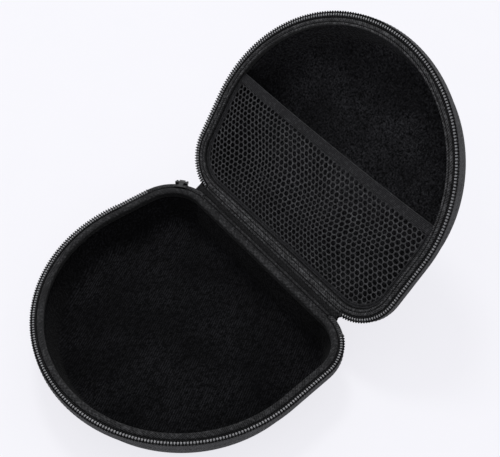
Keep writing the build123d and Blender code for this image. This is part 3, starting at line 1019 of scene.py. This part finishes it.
@dataclass
class Pocket:
    """The lid's net pocket: net, elastic hem and the tape that sews its edge down."""

    lid: Half
    depth: float = 86.5  # hinge axis to the hem's open edge
    hem: float = 7.0
    plane: float = 4.4  # meeting plane to the net
    inset: float = 8.3
    near: float = 9.5  # hinge axis to the net's near edge
    half: float = 86.0  # half the net's width
    margin: float = 1.0  # a thread's width left free at the edge
    bulge: float = 2.6
    bow: float = 1.2  # how far the hem bends towards the hinge in its middle
    cell: float = 3.9  # from one hole to the next
    ring: int = 12  # corners round a cell and its hole
    first_row: float = 6.0  # hinge axis to the first row of cells
    thread: float = 0.66
    yarn: float = 0.35  # thickness of the net
    sink: float = 0.12  # how much deeper a hole's edge lies than its cell's
    flat_size: tuple[float, float] = (0.180, 0.072)  # metres across and down the net, laid flat

    def lift(self, x: np.ndarray, y: np.ndarray) -> np.ndarray:
        """Height of the net over its plane: a low dome with slack ripples that die out at its edges."""
        v = np.clip((-y - self.near) / (self.depth - self.near), 0, 1)
        u = np.clip(x / self.half, -1, 1)
        dome = (1 - u**4) * np.sin(math.pi * np.clip(v * 0.93, 0, 1)) ** 0.8
        ripples = 0.35 * np.sin(x / 7.5 + 2.2 * v) * np.sin(math.pi * v) ** 2
        ripples += 0.3 * np.sin((x + y) / 11.0 + 1.0) * v * (1 - v) * 4
        return (self.bulge * dome + ripples * (1 - u**6)) * (1 - 0.35 * v)

    def slack(self, plan: np.ndarray) -> np.ndarray:
        """Plan points drawn a little to and fro, as a net hangs: waves that die out at its edges."""
        x, y = plan[..., 0], plan[..., 1]
        v = np.clip((-y - self.near) / (self.depth - self.near), 0, 1)
        fade = (1 - np.clip(x / self.half, -1, 1) ** 4) * np.sin(math.pi * v)
        along = 2.3 * np.sin(y / 12.0 + x / 37.0) + 1.1 * np.sin(x / 8.5 - y / 29.0)
        down = 1.8 * np.sin(x / 19.0 + 0.7) + 0.9 * np.sin((x - y) / 9.0)
        return np.stack([x + along * fade, y + down * fade], -1)

    def surface(self, plan: np.ndarray) -> np.ndarray:
        """Points of the net's surface over plan points, in the half's frame."""
        x, y = plan[..., 0], plan[..., 1]
        return np.stack([x, y, -(self.plane - self.lift(x, y))], -1)

    def build(self) -> None:
        """Makes the pocket's pieces."""
        for made, node, slot in (
            (self.net(), "pocket_net", "pocket_net"),
            (self.make_hem(), "pocket_hem", "pocket_elastic"),
            (self.edge_tape(), "pocket_edge_tape", "pocket_elastic"),
        ):
            self.lid.add(made, (node,), slot)

    def net(self) -> bpy.types.Object:
        """The knitted net: a honeycomb whose cells are rings between a hexagon and a round hole."""
        pitch, row = self.cell, self.cell * math.sqrt(3) / 2
        columns, rows = int(OUTLINE.width / pitch), int(self.depth / row) + 2
        i, j = np.meshgrid(np.arange(-columns // 2, columns // 2 + 1), np.arange(rows), indexing="ij")
        centre = np.stack([(i + 0.5 * (j % 2)) * pitch, -(self.first_row + j * row)], -1).reshape(-1, 2)
        centre = centre[self.inside(centre)]
        k = np.arange(self.ring)
        around = np.radians((k + 1) * 360 / self.ring)
        reach = np.where(k % 2 == 0, pitch / math.sqrt(3), pitch / 2)
        hole = (pitch - self.thread) / 2 * np.where(k % 2 == 0, 1.07, 1.0)
        unit = np.stack([np.cos(around), np.sin(around)], -1)
        outer = centre[:, None] + (unit * reach[:, None])[None]
        inner = centre[:, None] + (unit * hole[:, None])[None]
        plan = np.concatenate([outer, inner], 1)
        points = self.surface(self.slack(plan))
        points[:, self.ring :, 2] -= self.sink
        after = (k + 1) % self.ring
        quads = np.stack([k, after, self.ring + after, self.ring + k], -1)
        faces = (quads[None] + (np.arange(len(centre)) * 2 * self.ring)[:, None, None]).reshape(-1, 4)
        flat = plan.reshape(-1, 2)[faces]
        placed = self.lid.placement.place(points.reshape(-1, 3) * MM)
        made = make_piece("pocket_net_cloth", placed, faces.tolist(), flat.reshape(-1, 2), "net")
        merge(made, 0.02 * MM)
        add_solidify(made, self.yarn * MM)
        return made

    @staticmethod
    def net_area(made: bpy.types.Object) -> float:
        """Area of the net's own yarn, in square metres, taken before it gets its thickness."""
        return sum(face.area for face in made.data.polygons)

    def inside(self, plan: np.ndarray) -> np.ndarray:
        """Whether plan points lie in the pocket's part of the lid, a thread's width from its edge."""
        reach = OUTLINE.width / 2 - self.inset - self.margin
        normal = OUTLINE.flank_angle
        far_y = -(OUTLINE.hinge_gap + OUTLINE.far_centre)
        x, y = np.abs(plan[:, 0]), plan[:, 1]
        flank = x * math.cos(normal) + y * math.sin(normal) - far_y * math.sin(normal)
        keep = flank < reach
        keep &= (y < -(OUTLINE.hinge_gap + self.inset + self.margin)) & (y > -(self.depth - self.hem + self.bow))
        corner = np.array([OUTLINE.hinge_half, -(OUTLINE.hinge_gap + OUTLINE.corner_radius)])
        near = (x > corner[0]) & (y > corner[1])
        away = np.hypot(x - corner[0], y - corner[1])
        keep &= ~near | (away < OUTLINE.corner_radius - self.inset - self.margin)
        front = (y < far_y) & (np.hypot(x, y - far_y) > reach)
        return keep & ~front

    def make_hem(self) -> bpy.types.Object:
        """The elastic hem: a flat band across the lid, its long edges rolled, gathered a little."""
        across = np.array(HEM_BAND)
        t = np.linspace(-1, 1, HEM_POINTS)
        v = self.depth - self.hem + across[:, 0]
        half = self.half_width(v) - 0.4
        x = t[:, None] * half[None]
        y = -(v[None] - self.bow * (1 - t[:, None] ** 2))
        lift = self.lift(x, np.full_like(x, -(self.depth - self.hem / 2)))
        gather = 0.06 * np.sin(x * 2.4) * (np.abs(across[:, 0] - 3.5) < 3.0)
        z = -(self.plane - lift - across[:, 1] - gather)
        points = np.stack([x, y, z], -1)
        uv = np.stack([x, np.broadcast_to(v, x.shape)], -1)
        points, uv = cap_ends(points, uv)
        return piece_of("pocket_hem_band", [self.lid.patch(points, uv)], "elastic")

    def half_width(self, v: np.ndarray) -> np.ndarray:
        """Half the lid's inside width at a distance from the hinge axis, along flank or front arc."""
        y = -v
        far_y = -(OUTLINE.hinge_gap + OUTLINE.far_centre)
        normal = OUTLINE.flank_angle
        radius = OUTLINE.width / 2 - self.inset
        flank = (radius + far_y * math.sin(normal) - y * math.sin(normal)) / math.cos(normal)
        arc = np.sqrt(np.maximum(radius**2 - (y - far_y) ** 2, 1.0))
        return np.where(y < far_y, arc, flank)

    def edge_tape(self) -> bpy.types.Object:
        """Two rolled ridges that sew the net's edge to the lining, from hem to hem round the hinge."""
        reach = self.depth - OUTLINE.corner_radius + OUTLINE.corner_length(86) - 2
        start, end = OUTLINE.hinge_start - reach, OUTLINE.whole + reach
        patches = []
        for place, across in ((0.9, 0.8), (2.6, 0.75)):
            ridge = round_section(self.inset + place, self.plane - 0.2, across, 0.55, 10)
            patches.append(self.lid.sweep(ridge, start, end, RIDGE_POINTS))
        return piece_of("pocket_edge_ridges", patches, "elastic")


def merge(made: bpy.types.Object, distance: float) -> None:
    """Merges a mesh's doubled points and turns its faces outwards."""
    with editing(made) as mesh:
        bmesh.ops.remove_doubles(mesh, verts=mesh.verts, dist=distance)
        bmesh.ops.recalc_face_normals(mesh, faces=mesh.faces)


def add_solidify(made: bpy.types.Object, thickness: float) -> None:
    """Gives a sheet its thickness, half on each side."""
    solid = made.modifiers.new("thickness", "SOLIDIFY")
    solid.thickness = thickness
    solid.offset = 0.0
    solid.use_even_offset = True


# ---------------------------------------------------------------- hinge, caps and slider


@dataclass
class Hinge:
    """The fabric strip along the hinge, folded at the axis, and the caps over the zip's ends."""

    base: Half
    left_gusset: float = 11.0  # reach past the left end of the straight hinge side
    right_gusset: float = 5.5
    reach: float = 9.0
    gap: float = 0.35
    thick: float = 0.8
    steps: int = 14  # points along each leg and round the fold
    columns: int = 150  # points along the hinge

    def build(self) -> None:
        """Makes the strip and the two caps."""
        self.strip()
        for name, side in (("left", -1), ("right", 1)):
            self.cap(name, side)

    def strip(self) -> None:
        """The strip: its section follows the base's back, rounds the axis and follows the lid's.

        Past the ends of the straight hinge side its legs follow each half's round corner: the
        section's corner moves away from the axis by r - sqrt(r^2 - x^2), x being the distance
        past the end, and the fold between the legs widens into a small gusset.
        """
        opening = LID_PLACE.opening
        steps = np.linspace(0, 1, self.steps)
        half = OUTLINE.hinge_half
        x = np.linspace(-half - self.left_gusset, half + self.right_gusset, self.columns)
        past = np.clip(np.abs(x) - half, 0, None)
        radius = OUTLINE.corner_radius
        drop = radius - np.sqrt(radius**2 - past**2)
        centre = -(self.gap + self.thick / 2) - drop
        top = -0.9 * drop
        rise = self.reach * (1 - 0.5 * past / self.left_gusset)
        base_leg = np.stack(np.broadcast_arrays(centre[:, None], top[:, None] - rise[:, None] * (1 - steps)), -1)
        c, s = math.cos(opening), math.sin(opening)
        up = -top[:, None] + rise[:, None] * steps
        inward = np.broadcast_to(centre[:, None], up.shape)
        lid_leg = np.stack([inward * c + up * s, -inward * s + up * c], -1)
        blend = steps[1:-1, None]
        start, end = base_leg[:, -1:], lid_leg[:, :1]
        turn = np.linspace(math.pi, math.pi - opening, self.steps)[1:-1]
        arc = np.stack([np.cos(turn), np.sin(turn)], -1)[None] * np.abs(centre)[:, None, None]
        chord = start * (1 - blend[None]) + end * blend[None]
        slack = np.clip(drop, 0, 1)[:, None, None]
        fold = arc * (1 - slack) + chord * slack
        line = np.concatenate([base_leg, fold, lid_leg], 1)
        tangent = np.gradient(line, axis=1)
        tangent /= np.linalg.norm(tangent, axis=2, keepdims=True)
        normal = np.stack([-tangent[..., 1], tangent[..., 0]], -1) * self.thick / 2
        section = np.concatenate([line + normal, (line - normal)[:, ::-1]], 1)
        across = np.broadcast_to(x[:, None], section.shape[:2])
        points = np.stack([across, section[..., 0], section[..., 1]], -1)
        along = np.r_[0, np.cumsum(np.hypot(*np.diff(section[len(x) // 2], axis=0).T))]
        uv = np.stack(np.meshgrid(x, along, indexing="ij"), -1)
        points, uv = cap_ends(points, uv)
        made = piece_of("hinge_strip_cloth", [self.base.patch(points, uv)], "hinge")
        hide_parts("hinge_strip")
        y, z = BASE_PLACE.axis_y, BASE_PLACE.axis_z
        y - 0.9 * MM
        z - 0.6 * MM
        y + 1.2 * MM
        z + 0.9 * MM
        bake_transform(made)
        log.info("%s: %d faces", made.name, len(made.data.polygons))

    def cap(self, name: str, side: int) -> None:
        """A soft fabric roll over the zip's end, from near the hinge to the first tooth."""
        right, left = self.base.zip_ends()
        lead = OUTLINE.corner_length(4)
        start, end = (lead, right) if side > 0 else (left, OUTLINE.hinge_start - lead)
        patch = self.base.sweep(CAP_ROLL, min(start, end), max(start, end) % OUTLINE.whole, CAP_POINTS)
        made = piece_of(f"{name}_zip_cap", [patch], "binding")
        self.base.add(made, (f"{name}_zip_end_cap",), "binding_fabric")


@dataclass
class Grip:
    """The pull's moulded grip: a rounded bar with ribs, hanging from the slider's bar."""

    top: float = 6.0
    length: float = 19.0
    width: float = 7.5
    thick: float = 2.6
    ribs: int = 6

    def build(self) -> None:
        """Makes the grip as a superellipse section that swells and narrows along its length."""
        low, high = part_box("pull_grip")
        centre = (np.array(low) + np.array(high)) / 2
        joint = next(j for j in frame["joints"] if j["name"] == "pull_swing")
        tangent = np.array(joint["axis"])
        out = np.cross(tangent, (0.0, 0.0, 1.0))
        t = np.linspace(0, 1, 70)
        s = np.linspace(-1, 1, 70)
        body = np.clip(1 - np.abs(s) ** 5, 0, 1) ** 0.32
        ridge = 1 + 0.10 * np.clip(np.sin(TURN * self.ribs * (t - 0.2) / 0.6), 0, 1) * (np.abs(t - 0.5) < 0.3)
        angle = np.linspace(0, TURN, 40, endpoint=False)
        wide = np.sign(np.cos(angle)) * np.abs(np.cos(angle)) ** 0.7
        deep = np.sign(np.sin(angle)) * np.abs(np.sin(angle)) ** 0.7
        waist = 1 - 0.10 * np.sin(math.pi * t)
        w = (self.width / 2 * body * waist)[:, None] * wide
        d = (self.thick / 2 * body * ridge / 1.1)[:, None] * deep
        z = self.length * (0.5 - t)[:, None] + 0 * w
        points = centre + (tangent * w[..., None] + out * d[..., None] + np.array((0, 0, 1.0)) * z[..., None]) * MM
        uv = np.stack([w, z], -1)
        made = piece_of("pull_grip_moulding", [Patch(points, uv)], "rubber")
        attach(made, "pull")
        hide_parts("pull_grip")
        log.info("%s: %d faces", made.name, len(made.data.polygons))


def dress_nodes() -> None:
    """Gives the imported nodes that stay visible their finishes."""
    for look, nodes in (
        ("foam", ("base_core", "lid_core")),
        ("metal", ("slider_body", "pull_link", "base_zip_stop", "lid_zip_stops")),
    ):
        for node in nodes:
            materials = frame["nodes"][node].data.materials
            materials.clear()
            materials.append(finish(look))


# ---------------------------------------------------------------- the set


@dataclass(frozen=True)
class Studio:
    """Floor, lights and camera."""

    azimuth: float = 50.74
    elevation: float = 50.50
    distance: float = 0.60542
    aim: tuple[float, float, float] = (-0.01138, -0.00531, 0.01648)  # from the middle of the hinge axis
    lens: float = 65.03
    film: float = 36.0  # millimetres across the picture
    floor_size: float = 8.0
    floor_drop: float = 0.0002  # metres from the case's lowest face down to the floor
    paper: tuple = ((0.135, 0.135, 0.139), (0.145, 0.145, 0.149))
    glow: tuple[float, float, float] = (0.765, 0.76, 0.8)  # light the floor gives off, so that it stays even
    sky: tuple[float, float, float, float] = (0.95, 0.96, 1.0, 1.0)
    sky_strength: float = 0.8

    def build(self) -> None:
        """Makes the set."""
        self.floor()
        self.tones()
        self.lights()
        self.camera()

    def floor(self) -> None:
        """A wide pale floor."""
        bpy.ops.mesh.primitive_plane_add(size=self.floor_size, location=(0, 0, -self.floor_drop))
        floor = bpy.context.object
        floor.name = "floor"
        graph = Graph("floor paper")
        tone = graph.noise(0.02, 3.0, 0.5)
        paper = graph.finish(
            Base_Color=graph.blend(tone, *self.paper),
            Roughness=0.8,
            Specular_IOR_Level=0.1,
            Emission_Color=self.glow,
            Emission_Strength=1.0,
        )
        floor.data.materials.append(paper)

    def tones(self) -> None:
        """Plain display tones, so that white paper and black cloth both keep their contrast."""
        bpy.context.scene.view_settings.view_transform = "Standard"

    def lights(self) -> None:
        """A small light from the upper left, a large soft one overhead and a weak one from the right."""
        world = bpy.data.worlds.new("studio")
        bpy.context.scene.world = world
        world.use_nodes = True
        background = world.node_tree.nodes["Background"]
        background.inputs["Color"].default_value = self.sky
        background.inputs["Strength"].default_value = self.sky_strength
        middle = Vector((0, BASE_PLACE.axis_y - 0.02, 0.03))
        for name, spot, size, power in (
            ("key", (-0.45, 0.3, 1.2), 0.3, 6.0),
            ("overhead", (0.05, -0.1, 1.5), 1.6, 2.6),
            ("side", (0.9, -0.7, 0.8), 0.4, 1.0),
        ):
            light = bpy.data.lights.new(name, "AREA")
            light.shape = "DISK"
            light.size = size
            light.energy = power
            holder = link_new(name, light)
            holder.location = spot
            holder.rotation_euler = (middle - Vector(spot)).to_track_quat("-Z", "Y").to_euler()

    def camera(self) -> None:
        """The camera, aimed near the middle of the hinge axis."""
        azimuth, elevation = math.radians(self.azimuth), math.radians(self.elevation)
        back = Vector((
            math.sin(azimuth) * math.cos(elevation),
            -math.cos(azimuth) * math.cos(elevation),
            math.sin(elevation),
        ))
        aim = Vector(self.aim) + Vector((0, BASE_PLACE.axis_y, BASE_PLACE.axis_z))
        camera = bpy.data.cameras.new("camera")
        camera.sensor_fit = "HORIZONTAL"
        camera.sensor_width = self.film
        camera.lens = self.lens
        camera.clip_start = 0.01
        holder = link_new("camera", camera)
        holder.location = aim + back * self.distance
        holder.rotation_euler = back.to_track_quat("Z", "Y").to_euler()
        bpy.context.scene.camera = holder


def hinge_joint() -> dict:
    """The lid's hinge, from the frame."""
    return next(j for j in frame["joints"] if j["name"] == "lid_hinge")


_AXIS = hinge_joint()["pos_m"]
_OPEN = math.radians(-hinge_joint()["range_deg"][0])
BASE_PLACE = Placement(_AXIS[1], _AXIS[2])
LID_PLACE = Placement(_AXIS[1], _AXIS[2], _OPEN, True)


def main() -> None:
    """Builds the case and its set."""
    logging.basicConfig(level=logging.INFO, format="%(name)s: %(message)s")
    base = Half("base", BASE_PLACE, left_start=88.0, right_start=33.5, slider_reach=24.0, folded=False)
    lid = Half("lid", LID_PLACE, left_start=12.0, right_start=12.0, slider_reach=0.0, folded=True)
    base.build()
    lid.build()
    Pocket(lid).build()
    Hinge(base).build()
    Grip().build()
    dress_nodes()
    Studio().build()


if __name__ == "__main__":
    main()
